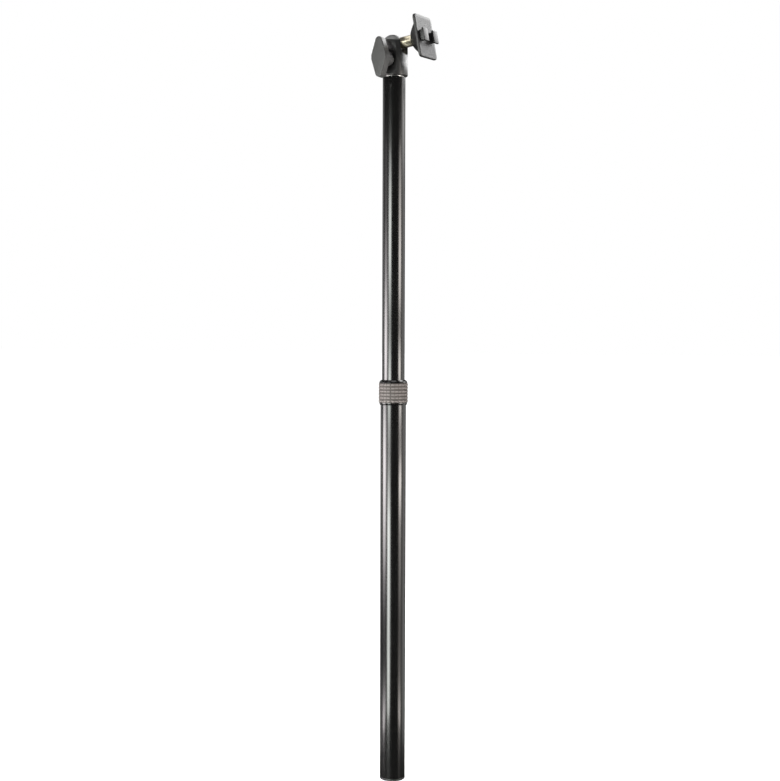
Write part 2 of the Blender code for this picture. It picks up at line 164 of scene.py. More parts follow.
def loftInto(bm, levels, place):  # joins outlines of equal length, each with its height, and caps the ends
    rings = [[bm.verts.new((x, y, height)) for x, y in outline] for outline, height in levels]
    for low, high in zip(rings, rings[1:]):
        for i in range(len(low)):
            j = (i + 1) % len(low)
            bm.faces.new((low[i], low[j], high[j], high[i]))
    bm.faces.new(list(reversed(rings[0])))
    bm.faces.new(rings[-1])
    bmesh.ops.transform(bm, matrix=place, verts=bm.verts)


def smoothMesh(mesh, sharp=sharpAngle):
    mesh.shade_smooth()
    mesh.set_sharp_from_angle(angle=radians(sharp))


def pieceFrom(bm, name, material=None, sharp=sharpAngle):
    bmesh.ops.recalc_face_normals(bm, faces=bm.faces)
    mesh = bpy.data.meshes.new(name)
    bm.to_mesh(mesh)
    bm.free()
    smoothMesh(mesh, sharp)
    if material is not None:
        mesh.materials.append(material)
    made = bpy.data.objects.new(name, mesh)
    bpy.context.scene.collection.objects.link(made)
    return made


def turned(name, corners, material=None, sides=96, place=Matrix(), steps=4):
    bm = bmesh.new()
    turnInto(bm, rounded(corners, steps), sides, place)
    return pieceFrom(bm, name, material)


def lofted(name, levels, material=None, place=Matrix()):
    bm = bmesh.new()
    loftInto(bm, levels, place)
    return pieceFrom(bm, name, material)


def applyModifiers(piece, sharp=sharpAngle):
    bpy.context.view_layer.update()
    shown = piece.evaluated_get(bpy.context.evaluated_depsgraph_get())
    mesh = bpy.data.meshes.new_from_object(shown)
    piece.modifiers.clear()
    piece.data = mesh
    smoothMesh(mesh, sharp)
    return piece


def combine(piece, tools, operation):  # carves or joins, and takes the tools away
    for tool in tools:
        change = piece.modifiers.new(operation.title(), "BOOLEAN")
        change.operation = operation
        change.object = tool
    applyModifiers(piece)
    for tool in tools:
        bpy.data.objects.remove(tool, do_unlink=True)
    return piece


def soften(piece, width, segments=2, angle=38.0):
    edge = piece.modifiers.new("Softened edges", "BEVEL")
    edge.width = width
    edge.segments = segments
    edge.limit_method = "ANGLE"
    edge.angle_limit = radians(angle)
    return applyModifiers(piece)


def weld(piece):  # clamped bevels leave faces without area
    bm = bmesh.new()
    bm.from_mesh(piece.data)
    reach = 0.003 * mm
    bmesh.ops.remove_doubles(bm, verts=bm.verts, dist=reach)
    bmesh.ops.dissolve_degenerate(bm, edges=bm.edges, dist=reach)
    bm.to_mesh(piece.data)
    bm.free()


def settle(piece, body, nodes):
    weld(piece)
    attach(piece, body)
    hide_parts(*nodes)


# Materials

def newMaterial(name, constants):
    made = bpy.data.materials.new(name)
    made.use_nodes = True
    shader = made.node_tree.nodes["Principled BSDF"]
    for socket, value in constants.items():
        shader.inputs[socket].default_value = value
    tree = NodeTree(made.node_tree)
    place = tree.node("ShaderNodeTexCoord")["Object"]
    return made, tree, shader.inputs, place


def noise(tree, place, scale, detail=2.0, stretch=(1.0, 1.0, 1.0)):
    moved = tree.node("ShaderNodeMapping", None, {"Vector": place, "Scale": stretch})
    inputs = {"Vector": moved, "Scale": scale, "Detail": detail}
    return tree.node("ShaderNodeTexNoise", None, inputs)


def blendColours(tree, factor, first, second):
    inputs = {0: factor, 6: (*first, 1.0), 7: (*second, 1.0)}
    return tree.node("ShaderNodeMix", {"data_type": "RGBA"}, inputs)[2]


def bump(tree, sockets, height, strength, depth):
    inputs = {"Height": height, "Strength": strength, "Distance": depth}
    tree.feed(sockets["Normal"], tree.node("ShaderNodeBump", None, inputs))


def blackEnamel():  # sprayed gloss, with faint long rub marks
    look = {"dark": (0.0012, 0.0012, 0.0012), "light": (0.003, 0.0029, 0.0028), "roughness": 0.15,
            "hazeRoughness": 0.07, "rubRoughness": 0.05, "coat": 0.25, "rubCoat": 0.3, "haze": 22.0,
            "rubs": 60.0, "rubStretch": (14.0, 14.0, 0.35), "peel": 260.0,
            "strength": 0.03, "depth": 0.03 * mm}
    made, tree, sockets, place = newMaterial("blackEnamel", {"Coat Roughness": 0.09})
    haze = noise(tree, place, look["haze"], 3.0)
    rubs = noise(tree, place, look["rubs"], 4.0, look["rubStretch"])
    tree.feed(sockets["Base Color"], blendColours(tree, haze, look["dark"], look["light"]))
    tree.feed(sockets["Roughness"],
              look["roughness"] + haze * look["hazeRoughness"] + rubs * look["rubRoughness"])
    tree.feed(sockets["Coat Weight"], look["coat"] + rubs * look["rubCoat"])
    bump(tree, sockets, noise(tree, place, look["peel"]), look["strength"], look["depth"])
    return made


def mouldedPlastic(name, dark, light, roughness, grain):
    look = {"clouds": 70.0, "cloudShare": 0.6, "speckShare": 0.4, "halfSpread": 0.08, "spread": 0.16,
            "cloudBump": 0.4, "strength": 0.08, "depth": 0.05 * mm}
    made, tree, sockets, place = newMaterial(name, {})
    cloud = noise(tree, place, look["clouds"], 4.0)
    speck = noise(tree, place, grain, 2.0)
    tone = cloud * look["cloudShare"] + speck * look["speckShare"]
    tree.feed(sockets["Base Color"], blendColours(tree, tone, dark, light))
    tree.feed(sockets["Roughness"], roughness - look["halfSpread"] + speck * look["spread"])
    bump(tree, sockets, speck + cloud * look["cloudBump"], look["strength"], look["depth"])
    return made


def knurledMetal(centre, rootRadius, ribDepth):  # plated, with painted shade darkening the grooves
    look = {"dark": (0.06, 0.052, 0.048), "light": (0.16, 0.143, 0.137), "roughness": 0.68, "polish": 0.06,
            "patchRoughness": 0.1, "patches": 160.0, "leastMask": 0.7, "patchMask": 0.5, "grain": 1500.0,
            "strength": 0.15, "depth": 0.04 * mm}
    made, tree, sockets, place = newMaterial("knurledMetal", {"Metallic": 0.2})
    shift = (-centre.x, -centre.y, 0.0)
    centred = tree.node("ShaderNodeMapping", None, {"Vector": place, "Location": shift})
    parts = tree.node("ShaderNodeSeparateXYZ", None, {"Vector": centred})
    radius = (parts["X"] ** 2.0 + parts["Y"] ** 2.0) ** 0.5
    height = tree.node("ShaderNodeMath", {"operation": "MULTIPLY", "use_clamp": True},
                       {0: (radius - rootRadius) / ribDepth, 1: 1.0})
    patches = noise(tree, place, look["patches"], 4.0)
    # painted shade: the colour darkens from the rib tops down to the groove roots, and random patches vary how
    # much
    grooveShadeMask = height * (look["leastMask"] + patches * look["patchMask"])
    tree.feed(sockets["Base Color"], blendColours(tree, grooveShadeMask, look["dark"], look["light"]))
    tree.feed(sockets["Roughness"],
              look["roughness"] - height * look["polish"] + patches * look["patchRoughness"])
    bump(tree, sockets, noise(tree, place, look["grain"], 3.0), look["strength"], look["depth"])
    return made


def turnedMetal(name, dark, light, roughness, marks, stretch=(0.25, 0.25, 5.0), streaks=0.2):
    look = {"tarnish": 130.0, "lineRoughness": 0.1, "tarnishRoughness": 0.06, "strength": 0.12,
            "depth": 0.04 * mm}
    made, tree, sockets, place = newMaterial(name, {"Metallic": 1.0})
    lines = noise(tree, place, marks, 3.0, stretch)
    tarnish = noise(tree, place, look["tarnish"], 4.0)
    tone = lines * streaks + tarnish * (1.0 - streaks)
    tree.feed(sockets["Base Color"], blendColours(tree, tone, dark, light))
    tree.feed(sockets["Roughness"],
              roughness + lines * look["lineRoughness"] + tarnish * look["tarnishRoughness"])
    bump(tree, sockets, lines, look["strength"], look["depth"])
    return made


collarLow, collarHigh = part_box("lock_collar")
ribDepth = 0.45 * mm
collarRadius = (collarHigh.x - collarLow.x) / 2
finishes = {
    "black_enamel": blackEnamel(),
    "black_plastic": mouldedPlastic("blackPlastic", (0.006, 0.006, 0.006), (0.015, 0.015, 0.0145),
                                    0.4, 1400.0),
    "grey_plastic": mouldedPlastic("greyPlastic", (0.018, 0.018, 0.018), (0.036, 0.036, 0.035),
                                   0.44, 1800.0),
    "knurled_metal": knurledMetal((collarLow + collarHigh) / 2, collarRadius - ribDepth, ribDepth),
    "bright_metal": turnedMetal("brightMetal", (0.62, 0.61, 0.59), (0.84, 0.83, 0.81), 0.2, 900.0),
    "dark_metal": turnedMetal("darkMetal", (0.1, 0.1, 0.105), (0.2, 0.2, 0.2), 0.32, 900.0),
    "satin_ball": mouldedPlastic("satinBall", (0.1, 0.1, 0.1), (0.14, 0.14, 0.137), 0.42, 2200.0),
    "brass": turnedMetal("brass", (0.3, 0.25, 0.15), (1.0, 0.94, 0.76), 0.3, 210.0,
                         (0.12, 4.0, 4.0), 0.85),
    "plate_plastic": mouldedPlastic("platePlastic", (0.004, 0.004, 0.004), (0.009, 0.009, 0.0088),
                                    0.48, 1400.0),
    "pale_nylon": mouldedPlastic("paleNylon", (0.55, 0.54, 0.5), (0.66, 0.65, 0.61), 0.48, 900.0),
}
print("materials made")

# Camera and studio

viewSizes = {"azimuth": 29.0, "distance": 1.6, "height": 0.505, "pitch": 2.0, "lens": 65.52,
             "aside": -0.0037, "shift": -0.0096, "roll": 0.15}


def makeCamera():
    turn = radians(viewSizes["azimuth"])
    back = Vector((sin(turn), -cos(turn), 0.0))
    right = Vector((cos(turn), sin(turn), 0.0))
    camera = bpy.data.objects.new("camera", bpy.data.cameras.new("camera"))
    bpy.context.scene.collection.objects.link(camera)
    place = back * viewSizes["distance"] + right * viewSizes["aside"]
    camera.location = (place.x, place.y, viewSizes["height"])
    level = Matrix.Rotation(turn, 4, "Z") @ Matrix.Rotation(radians(90 - viewSizes["pitch"]), 4, "X")
    camera.rotation_euler = (level @ Matrix.Rotation(radians(viewSizes["roll"]), 4, "Z")).to_euler()
    camera.data.lens = viewSizes["lens"]
    camera.data.shift_y = viewSizes["shift"]
    bpy.context.scene.camera = camera


# Azimuths are in degrees from -Y towards +X; stops are (height in metres, brightness)
cards = {
    "leftCard": {"azimuth": -55, "radius": 1.2, "width": 1.05, "colour": (1.0, 0.95, 0.96),
                 "stops": ((-0.42, 11.0), (-0.36, 8.0), (-0.3, 1.3), (-0.24, 0.3), (-0.14, 0.1),
                           (0.02, 2.2), (0.1, 6.5), (0.22, 11.0), (0.36, 15.0), (0.46, 12.0),
                           (0.6, 4.5), (0.78, 1.0), (1.0, 0.8))},
    "frontCard": {"azimuth": -9, "radius": 1.2, "width": 0.76, "colour": (0.97, 1.0, 0.96),
                  "stops": ((-0.42, 13.0), (-0.36, 13.0), (-0.3, 13.0), (-0.14, 11.0), (0.05, 15.0),
                            (0.2, 18.0), (0.36, 6.0), (0.43, 3.2), (0.5, 6.0),
                            (0.66, 15.0), (0.8, 14.0), (1.0, 4.0))},
    "rightCard": {"azimuth": 96, "radius": 1.2, "width": 0.78, "colour": (1.0, 0.94, 0.89),
                  "stops": ((-0.42, 11.0), (-0.36, 8.0), (-0.3, 1.8), (-0.1, 1.0), (0.05, 2.8), (0.2, 3.4),
                            (0.32, 18.0), (0.42, 0.8), (0.47, 2.0), (0.54, 11.0),
                            (0.66, 13.0), (0.8, 8.0), (1.0, 3.0))},
    "backLeftCard": {"azimuth": -104, "radius": 1.2, "width": 1.0, "colour": (1.0, 1.0, 1.0),
                     "stops": ((-0.42, 0.8), (-0.14, 0.15), (0.3, 0.7), (1.1, 0.6))},
    "backRightCard": {"azimuth": 140, "radius": 1.2, "width": 1.5, "colour": (1.0, 0.98, 0.96),
                      "stops": ((-0.42, 0.9), (0.3, 1.1), (0.85, 1.1), (1.0, 2.6), (1.2, 2.6))},
    "headCard": {"azimuth": 167, "radius": 0.5, "width": 0.56, "colour": (1.0, 1.0, 1.0),
                 "stops": ((0.9, 0.2), (0.95, 4.4), (1.02, 7.8), (1.12, 9.6), (1.3, 7.2))},
    "studCard": {"azimuth": -62, "radius": 0.55, "width": 0.5, "colour": (1.0, 0.97, 0.95),
                 "stops": ((1.4, 0.2), (1.5, 4.0), (1.8, 5.0))},
}


def makeCard(name, sizes):
    turn = radians(sizes["azimuth"])
    out = Vector((sin(turn), -cos(turn), 0.0))
    side = Vector((cos(turn), sin(turn), 0.0)) * sizes["width"] / 2
    low, high = sizes["stops"][0][0], sizes["stops"][-1][0]
    middle = out * sizes["radius"]
    bm = bmesh.new()
    corners = [middle - side, middle + side, middle + side, middle - side]
    bm.faces.new([bm.verts.new((c.x, c.y, z)) for c, z in zip(corners, (low, low, high, high))])
    glow = bpy.data.materials.new(name)
    glow.use_nodes = True
    glow.node_tree.nodes.clear()
    tree = NodeTree(glow.node_tree)
    place = tree.node("ShaderNodeTexCoord")["Object"]
    along = (tree.node("ShaderNodeSeparateXYZ", None, {"Vector": place})["Z"] - low) / (high - low)
    peak = max(stop[1] for stop in sizes["stops"])
    stops = [((z - low) / (high - low), (light / peak,) * 3) for z, light in sizes["stops"]]
    ramp = tree.node("ShaderNodeValToRGB", {"stops": stops}, {"Fac": along})
    across = tree.node("ShaderNodeVectorMath", {"operation": "DOT_PRODUCT"},
                       {0: place, 1: side / side.length_squared})["Value"]
    inputs = {"Color": (*sizes["colour"], 1.0), "Strength": ramp * peak * (1.0 - across ** 2.0)}
    light = tree.node("ShaderNodeEmission", None, inputs)
    tree.node("ShaderNodeOutputMaterial", None, {"Surface": light})
    card = pieceFrom(bm, name, glow)
    card.visible_camera = False
    card.visible_shadow = False


def makeFloor():
    sizes = {"half": 30.0, "drop": 1.0 * mm}
    paper, tree, sockets, place = newMaterial("paperFloor", {"Roughness": 0.9, "Emission Strength": 1.1})
    tone = blendColours(tree, noise(tree, place, 3.0), (0.9, 0.9, 0.9), (0.93, 0.93, 0.93))
    tree.feed(sockets["Base Color"], tone)
    sockets["Emission Color"].default_value = (1.0, 1.0, 1.0, 1.0)
    bm = bmesh.new()
    reach = sizes["half"]
    corners = ((-reach, -reach), (reach, -reach), (reach, reach), (-reach, reach))
    bm.faces.new([bm.verts.new((x, y, -sizes["drop"])) for x, y in corners])
    floor = pieceFrom(bm, "floor", paper)
    floor.visible_glossy = False
    floor.visible_shadow = False


def makeTopLight():
    sizes = {"across": 0.9, "energy": 9.0, "place": (0.25, -0.35, 1.9), "aim": (0.0, 0.0, 0.82)}
    light = bpy.data.lights.new("topLight", "AREA")
    light.shape = "DISK"
    light.size = sizes["across"]
    light.energy = sizes["energy"]
    lamp = bpy.data.objects.new("topLight", light)
    lamp.location = sizes["place"]
    lamp.rotation_euler = (Vector(sizes["aim"]) - lamp.location).to_track_quat("-Z", "Y").to_euler()
    bpy.context.scene.collection.objects.link(lamp)


def makeWorld():  # the backdrop is white where it is seen, and dim where it lights
    brightness = {"lighting": 0.05, "seenExtra": 0.95}
    world = bpy.data.worlds.new("studio")
    bpy.context.scene.world = world
    world.use_nodes = True
    world.node_tree.nodes.clear()
    tree = NodeTree(world.node_tree)
    seen = tree.node("ShaderNodeLightPath")["Is Camera Ray"]
    strength = brightness["lighting"] + seen * brightness["seenExtra"]
    inputs = {"Color": (1.0, 1.0, 1.0, 1.0), "Strength": strength}
    tree.node("ShaderNodeOutputWorld", None, {"Surface": tree.node("ShaderNodeBackground", None, inputs)})


makeCamera()
for cardName, cardSizes in cards.items():
    makeCard(cardName, cardSizes)
makeFloor()
makeTopLight()
makeWorld()
bpy.context.scene.view_settings.view_transform = "Standard"
print("camera and studio made")


# Lower pole

def radiusOf(node):
    low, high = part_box(node)
    return (high.x - low.x) / 2


def makeLowerTube():
    sizes = {"wall": 1.0 * mm, "edge": 0.3 * mm}
    low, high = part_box("lower_tube")
    outer = radiusOf("lower_tube")
    inner = outer - sizes["wall"]
    corners = [(inner, low.z, sizes["edge"]), (outer, low.z, sizes["edge"]),
               (outer, high.z, sizes["edge"]), (inner, high.z, sizes["edge"])]
    tube = turned("lowerTube", corners, finishes["black_enamel"], 128)
    settle(tube, "lower_pole", ["lower_tube"])


def makeEndPlug():
    sizes = {"flange": 2.7 * mm, "wall": 1.3 * mm, "edge": 1.0 * mm, "soft": 0.3 * mm, "fine": 0.2 * mm,
             "leadHeight": 1.5 * mm, "leadDepth": 1.0 * mm, "notches": 6, "notchWidth": 2.4 * mm,
             "notchDepth": 0.7 * mm, "notchReach": 1.6 * mm, "outside": 2 * mm, "below": -1 * mm}
    low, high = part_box("end_plug")
    outer = radiusOf("end_plug")
    bore = radiusOf("base_insert") + touchGap
    spigot = outer - sizes["wall"]
    soft, fine = sizes["soft"], sizes["fine"]
    corners = [(bore, low.z, soft), (outer, low.z, sizes["edge"]), (outer, sizes["flange"], fine),
               (spigot, sizes["flange"], 0.0), (spigot, high.z - sizes["leadHeight"], soft),
               (spigot - sizes["leadDepth"], high.z, fine), (bore, high.z, soft)]
    plug = turned("endPlug", corners, finishes["black_plastic"])
    half = sizes["notchWidth"] / 2
    near, far = outer - sizes["notchReach"], outer + sizes["outside"]
    outline = [Vector((near, -half)), Vector((far, -half)), Vector((far, half)), Vector((near, half))]
    levels = [(outline, sizes["below"]), (outline, sizes["notchDepth"])]
    keys = []
    for i in range(sizes["notches"]):  # grip notches round the lower edge
        place = Matrix.Rotation(2 * pi * i / sizes["notches"], 4, "Z")
        keys.append(lofted(f"key{i}", levels, None, place))
    combine(plug, keys, "DIFFERENCE")
    settle(plug, "lower_pole", ["end_plug"])


def makeBaseInsert():  # brass, with a cut thread in its bore
    sizes = {"bore": 7.95 * mm, "threadDepth": 0.5 * mm, "pitch": 0.941 * mm, "perTurn": 6, "sides": 72,
             "endShare": 0.6, "waist": 0.9 * mm, "waistHigh": (10.9 * mm, 10.2 * mm),
             "waistLow": (8.2 * mm, 7.5 * mm), "sharp": 50.0}
    low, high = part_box("base_insert")
    outer = radiusOf("base_insert")
    waist = outer - sizes["waist"]
    rows = int((high.z - low.z) / sizes["pitch"] * sizes["perTurn"])
    outside = [(outer, high.z), (outer, sizes["waistHigh"][0]), (waist, sizes["waistHigh"][1]),
               (waist, sizes["waistLow"][0]), (outer, sizes["waistLow"][1]), (outer, low.z)]
    bm = bmesh.new()
    rings = []
    for row in range(rows + 1):
        z = low.z + (high.z - low.z) * row / rows
        ring = []
        for i in range(sizes["sides"]):
            turn = i / sizes["sides"]
            wave = abs(((z - low.z) / sizes["pitch"] - turn) % 1.0 - 0.5) * 2
            fade = min(1.0, min(row, rows - row) / sizes["perTurn"])
            share = wave * fade + (1 - fade) * sizes["endShare"]
            radius = sizes["bore"] + sizes["threadDepth"] * share
            ring.append(bm.verts.new((radius * cos(2 * pi * turn), radius * sin(2 * pi * turn), z)))
        rings.append(ring)
    for radius, z in outside:
        turns = [2 * pi * i / sizes["sides"] for i in range(sizes["sides"])]
        rings.append([bm.verts.new((radius * cos(a), radius * sin(a), z)) for a in turns])
    for ring, following in zip(rings, rings[1:] + rings[:1]):
        for i in range(sizes["sides"]):
            j = (i + 1) % sizes["sides"]
            bm.faces.new((ring[i], ring[j], following[j], following[i]))
    insert = pieceFrom(bm, "baseInsert", finishes["brass"], sizes["sharp"])
    settle(insert, "lower_pole", ["base_insert"])


def makeLockSleeve():  # its gloss lip shows under the collar
    sizes = {"lipFoot": 0.7 * mm, "lipRise": 1.7 * mm, "lipRound": 0.9 * mm, "lipEdge": 0.12 * mm,
             "footEdge": 0.15 * mm, "inside": 0.05 * mm, "edge": 0.3 * mm, "throat": 12.95 * mm}
    low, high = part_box("lock_sleeve")
    tube = radiusOf("lower_tube") + touchGap
    lipRadius = radiusOf("lock_sleeve")
    barrel = lipRadius - sleeveLip
    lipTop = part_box("lock_collar")[0].z - touchGap
    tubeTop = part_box("lower_tube")[1].z + touchGap
    corners = [(tube, low.z, sizes["inside"]), (lipRadius - sizes["lipFoot"], low.z, sizes["footEdge"]),
               (lipRadius, low.z + sizes["lipRise"], sizes["lipRound"]),
               (lipRadius, lipTop, sizes["lipEdge"]), (barrel, lipTop, 0.0),
               (barrel, high.z, sizes["edge"]), (sizes["throat"], high.z, sizes["edge"]),
               (sizes["throat"], tubeTop, 0.0), (tube, tubeTop, 0.0)]
    sleeve = turned("lockSleeve", corners, finishes["black_enamel"], 128)
    settle(sleeve, "lower_pole", ["lock_sleeve"])


makeLowerTube()
makeEndPlug()
makeBaseInsert()
makeLockSleeve()
print("lower pole made")


# Twist collar

collarSizes = {"Rows": 6, "Columns": 24, "PadShare": 0.94, "RibShare": 0.5, "Taper": 0.34,
               "ExtraGap": radians(4.0), "FirstAngle": radians(-72.0)}


def knurlTree():  # rows of raised pads on a plain drum
    sizes = {"ribStretch": 1.3, "sideTaper": 0.25, "across": 2, "round": 5, "up": 3}
    group = bpy.data.node_groups.new("KnurlPads", "GeometryNodeTree")
    face = group.interface
    face.new_socket("Geometry", in_out="INPUT", socket_type="NodeSocketGeometry")
    for name in ("Radius", "Start", "Height", "Depth", "PadShare", "RibShare", "Taper", "ExtraGap",
                 "FirstAngle"):
        face.new_socket(name, in_out="INPUT", socket_type="NodeSocketFloat")
    for name in ("Rows", "Columns"):
        face.new_socket(name, in_out="INPUT", socket_type="NodeSocketInt")
    face.new_socket("Finish", in_out="INPUT", socket_type="NodeSocketMaterial")
    face.new_socket("Geometry", in_out="OUTPUT", socket_type="NodeSocketGeometry")
    tree = NodeTree(group)
    given = tree.node("NodeGroupInput")
    step = (2 * pi - given["ExtraGap"]) / given["Columns"]
    pitch = given["Height"] / given["Rows"]
    index = tree.node("GeometryNodeInputIndex")
    row = tree.node("ShaderNodeMath", {"operation": "FLOOR"}, {0: index / given["Columns"]})
    angle = given["FirstAngle"] + given["ExtraGap"] * 0.5 + (index - row * given["Columns"] + 0.5) * step
    across = tree.node("ShaderNodeMath", {"operation": "COSINE"}, {0: angle})
    along = tree.node("ShaderNodeMath", {"operation": "SINE"}, {0: angle})
    inputs = {"X": across * given["Radius"], "Y": along * given["Radius"],
              "Z": given["Start"] + (row + 0.5) * pitch}
    spot = tree.node("ShaderNodeCombineXYZ", None, inputs)
    inputs = {"Count": given["Rows"] * given["Columns"], "Position": spot}
    points = tree.node("GeometryNodePoints", None, inputs)
    inputs = {"X": given["Depth"] * 2.0, "Y": given["Radius"] * step * given["PadShare"],
              "Z": pitch * given["RibShare"] * sizes["ribStretch"]}
    size = tree.node("ShaderNodeCombineXYZ", None, inputs)
    inputs = {"Size": size, "Vertices X": sizes["across"], "Vertices Y": sizes["round"],
              "Vertices Z": sizes["up"]}
    block = tree.node("GeometryNodeMeshCube", None, inputs)
    here = tree.node("GeometryNodeInputPosition")
    parts = tree.node("ShaderNodeSeparateXYZ", None, {"Vector": here})
    outward = parts["X"] / (given["Depth"] * 2.0) + 0.5
    narrow = 1.0 - outward * given["Taper"]
    drop = given["Radius"] - (given["Radius"] ** 2.0 - parts["Y"] ** 2.0) ** 0.5
    inputs = {"X": parts["X"] - drop - given["Depth"],
              "Y": parts["Y"] * (1.0 - outward * given["Taper"] * sizes["sideTaper"]),
              "Z": parts["Z"] * narrow}
    bent = tree.node("ShaderNodeCombineXYZ", None, inputs)
    pad = tree.node("GeometryNodeSetPosition", None, {"Geometry": block, "Position": bent})
    turn = tree.node("ShaderNodeCombineXYZ", None, {"Z": angle})
    rotation = tree.node("FunctionNodeEulerToRotation", None, {"Euler": turn})
    inputs = {"Points": points, "Instance": pad, "Rotation": rotation}
    copies = tree.node("GeometryNodeInstanceOnPoints", None, inputs)
    real = tree.node("GeometryNodeRealizeInstances", None, {"Geometry": copies})
    joined = tree.node("GeometryNodeJoinGeometry", None, {"Geometry": real})
    group.links.new(given["Geometry"].socket, joined.socket.node.inputs["Geometry"])
    coloured = tree.node("GeometryNodeSetMaterial", None, {"Geometry": joined, "Material": given["Finish"]})
    tree.node("NodeGroupOutput", None, {"Geometry": coloured})
    return group


def runTree(piece, group, values):  # socket identifiers, because a modifier doesn't know their names
    grown = piece.modifiers.new(group.name, "NODES")
    grown.node_group = group
    for item in group.interface.items_tree:
        if item.in_out == "INPUT" and item.name in values:
            grown[item.identifier] = values[item.name]
    return applyModifiers(piece)


def makeCollar():
    sizes = {"inside": 0.1 * mm, "edge": 0.3 * mm, "throat": 14.5 * mm, "throatEdge": 0.2 * mm,
             "throatDepth": 4.0 * mm}
    inner = radiusOf("lock_sleeve") - sleeveLip + touchGap
    root = collarRadius - ribDepth
    low, high = collarLow.z, collarHigh.z
    corners = [(inner, low, sizes["inside"]), (root, low, sizes["edge"]), (root, high, sizes["edge"]),
               (sizes["throat"], high, sizes["throatEdge"]), (inner, high - sizes["throatDepth"], 0.0)]
    collar = turned("lockCollar", corners, finishes["knurled_metal"], 120)
    values = dict(collarSizes, Radius=collarRadius, Start=low, Height=high - low, Depth=ribDepth,
                  Finish=finishes["knurled_metal"])
    runTree(collar, knurlTree(), values)
    settle(collar, "collar", ["lock_collar"])


def makeCollarCap():
    sizes = {"gap": 0.35 * mm, "skirt": 0.35 * mm, "dome": 2.3 * mm, "brow": 1.0 * mm, "shoulder": 1.1 * mm,
             "lean": 0.8 * mm, "round": 0.9 * mm, "edge": 0.2 * mm, "inside": 0.1 * mm, "mouth": 0.15 * mm}
    low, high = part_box("collar_cap")
    outer = radiusOf("collar_cap")
    inner = radiusOf("upper_tube") + sizes["gap"]
    corners = [(inner, low.z, sizes["inside"]), (outer, low.z, sizes["edge"]),
               (outer, low.z + sizes["skirt"], sizes["edge"]),
               (outer - sizes["lean"], high.z - sizes["shoulder"], sizes["round"]),
               (outer - sizes["dome"], high.z, sizes["brow"]),
               (inner, high.z, sizes["mouth"])]
    cap = turned("collarCap", corners, finishes["black_enamel"], 128, steps=6)
    settle(cap, "collar", ["collar_cap"])


makeCollar()
makeCollarCap()
print("twist collar made")


# Upper pole

def makeUpperTube():
    sizes = {"wall": 1.2 * mm, "edge": 0.35 * mm}
    low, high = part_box("upper_tube")
    outer = radiusOf("upper_tube")
    inner = outer - sizes["wall"]
    corners = [(inner, low.z, sizes["edge"]), (outer, low.z, sizes["edge"]),
               (outer, high.z, sizes["edge"]), (inner, high.z, sizes["edge"])]
    tube = turned("upperTube", corners, finishes["black_enamel"], 128)
    settle(tube, "upper_pole", ["upper_tube"])


def makeTopRing():
    sizes = {"bore": 3.3 * mm, "edge": 0.25 * mm, "inside": 0.1 * mm}
    low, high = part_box("top_washer")
    outer = radiusOf("top_washer")
    corners = [(sizes["bore"], low.z, sizes["inside"]), (outer, low.z, sizes["edge"]),
               (outer, high.z, sizes["edge"]), (sizes["bore"], high.z, sizes["inside"])]
    ring = turned("topRing", corners, finishes["bright_metal"], 128)
    settle(ring, "upper_pole", ["top_washer"])


ballCentre = Vector(joints["ball_tilt"]["pos_m"])
ballSizes = {"radius": 11.7 * mm, "flat": 10.3 * mm, "hole": 3.3 * mm, "holeFloor": 2.0 * mm}
housingSizes = {"wellRadius": 7.5 * mm, "wellDrop": 22.3 * mm, "pocketTop": radians(66),
                "pocketClear": 12 * mm, "notchHalf": 8.4 * mm, "notchDrop": 12.0 * mm,
                "notchInner": 6.5 * mm, "notchAbove": 5 * mm, "notchBeyond": 4 * mm,
                "spotDepth": 10.4 * mm, "spotRadius": 9.2 * mm, "spotRound": 0.4 * mm,
                "spotClear": 3 * mm, "screwHole": 3.2 * mm, "screwInner": 3.0 * mm,
                "screwClear": 1 * mm, "studHole": 3.3 * mm, "studDepth": 10.5 * mm,
                "studBelow": 2 * mm, "rim": 1.4 * mm, "foot": 0.5 * mm, "softness": 0.3 * mm}
knobHeight = joints["knob_turn"]["pos_m"][2]


def alongKnob(depth=0.0):  # +Z becomes -Y, on the knob's axis
    return Matrix.Translation((0.0, -depth, knobHeight)) @ Matrix.Rotation(pi / 2, 4, "X")


def pocketTool():
    radius = ballSizes["radius"] + touchGap
    bottom = ballCentre.z - housingSizes["wellDrop"]
    join = asin(housingSizes["wellRadius"] / radius)
    outline = [(0.0, bottom), (housingSizes["wellRadius"], bottom)]
    steps = 28
    top = housingSizes["pocketTop"]
    for i in range(steps + 1):
        angle = -pi / 2 + join + (top + pi / 2 - join) * i / steps
        outline.append((radius * cos(angle), ballCentre.z + radius * sin(angle)))
    clear = ballCentre.z + housingSizes["pocketClear"]
    outline += [(outline[-1][0], clear), (0.0, clear)]
    bm = bmesh.new()
    turnInto(bm, outline, 96, Matrix.Translation((ballCentre.x, ballCentre.y, 0.0)))
    return pieceFrom(bm, "pocketTool")


def notchTool(outer, top):
    half = housingSizes["notchHalf"]
    centre = ballCentre.z - housingSizes["notchDrop"] + half
    above = top + housingSizes["notchAbove"]
    outline = [Vector((half, above)), Vector((-half, above))]
    steps = 28
    for i in range(steps + 1):
        angle = pi + pi * i / steps
        outline.append(Vector((half * cos(angle), centre + half * sin(angle))))
    stand = Matrix.Rotation(pi / 2, 4, "Z") @ Matrix.Rotation(pi / 2, 4, "X")
    levels = [(outline, housingSizes["notchInner"]), (outline, outer + housingSizes["notchBeyond"])]
    return lofted("notchTool", levels, None, stand)


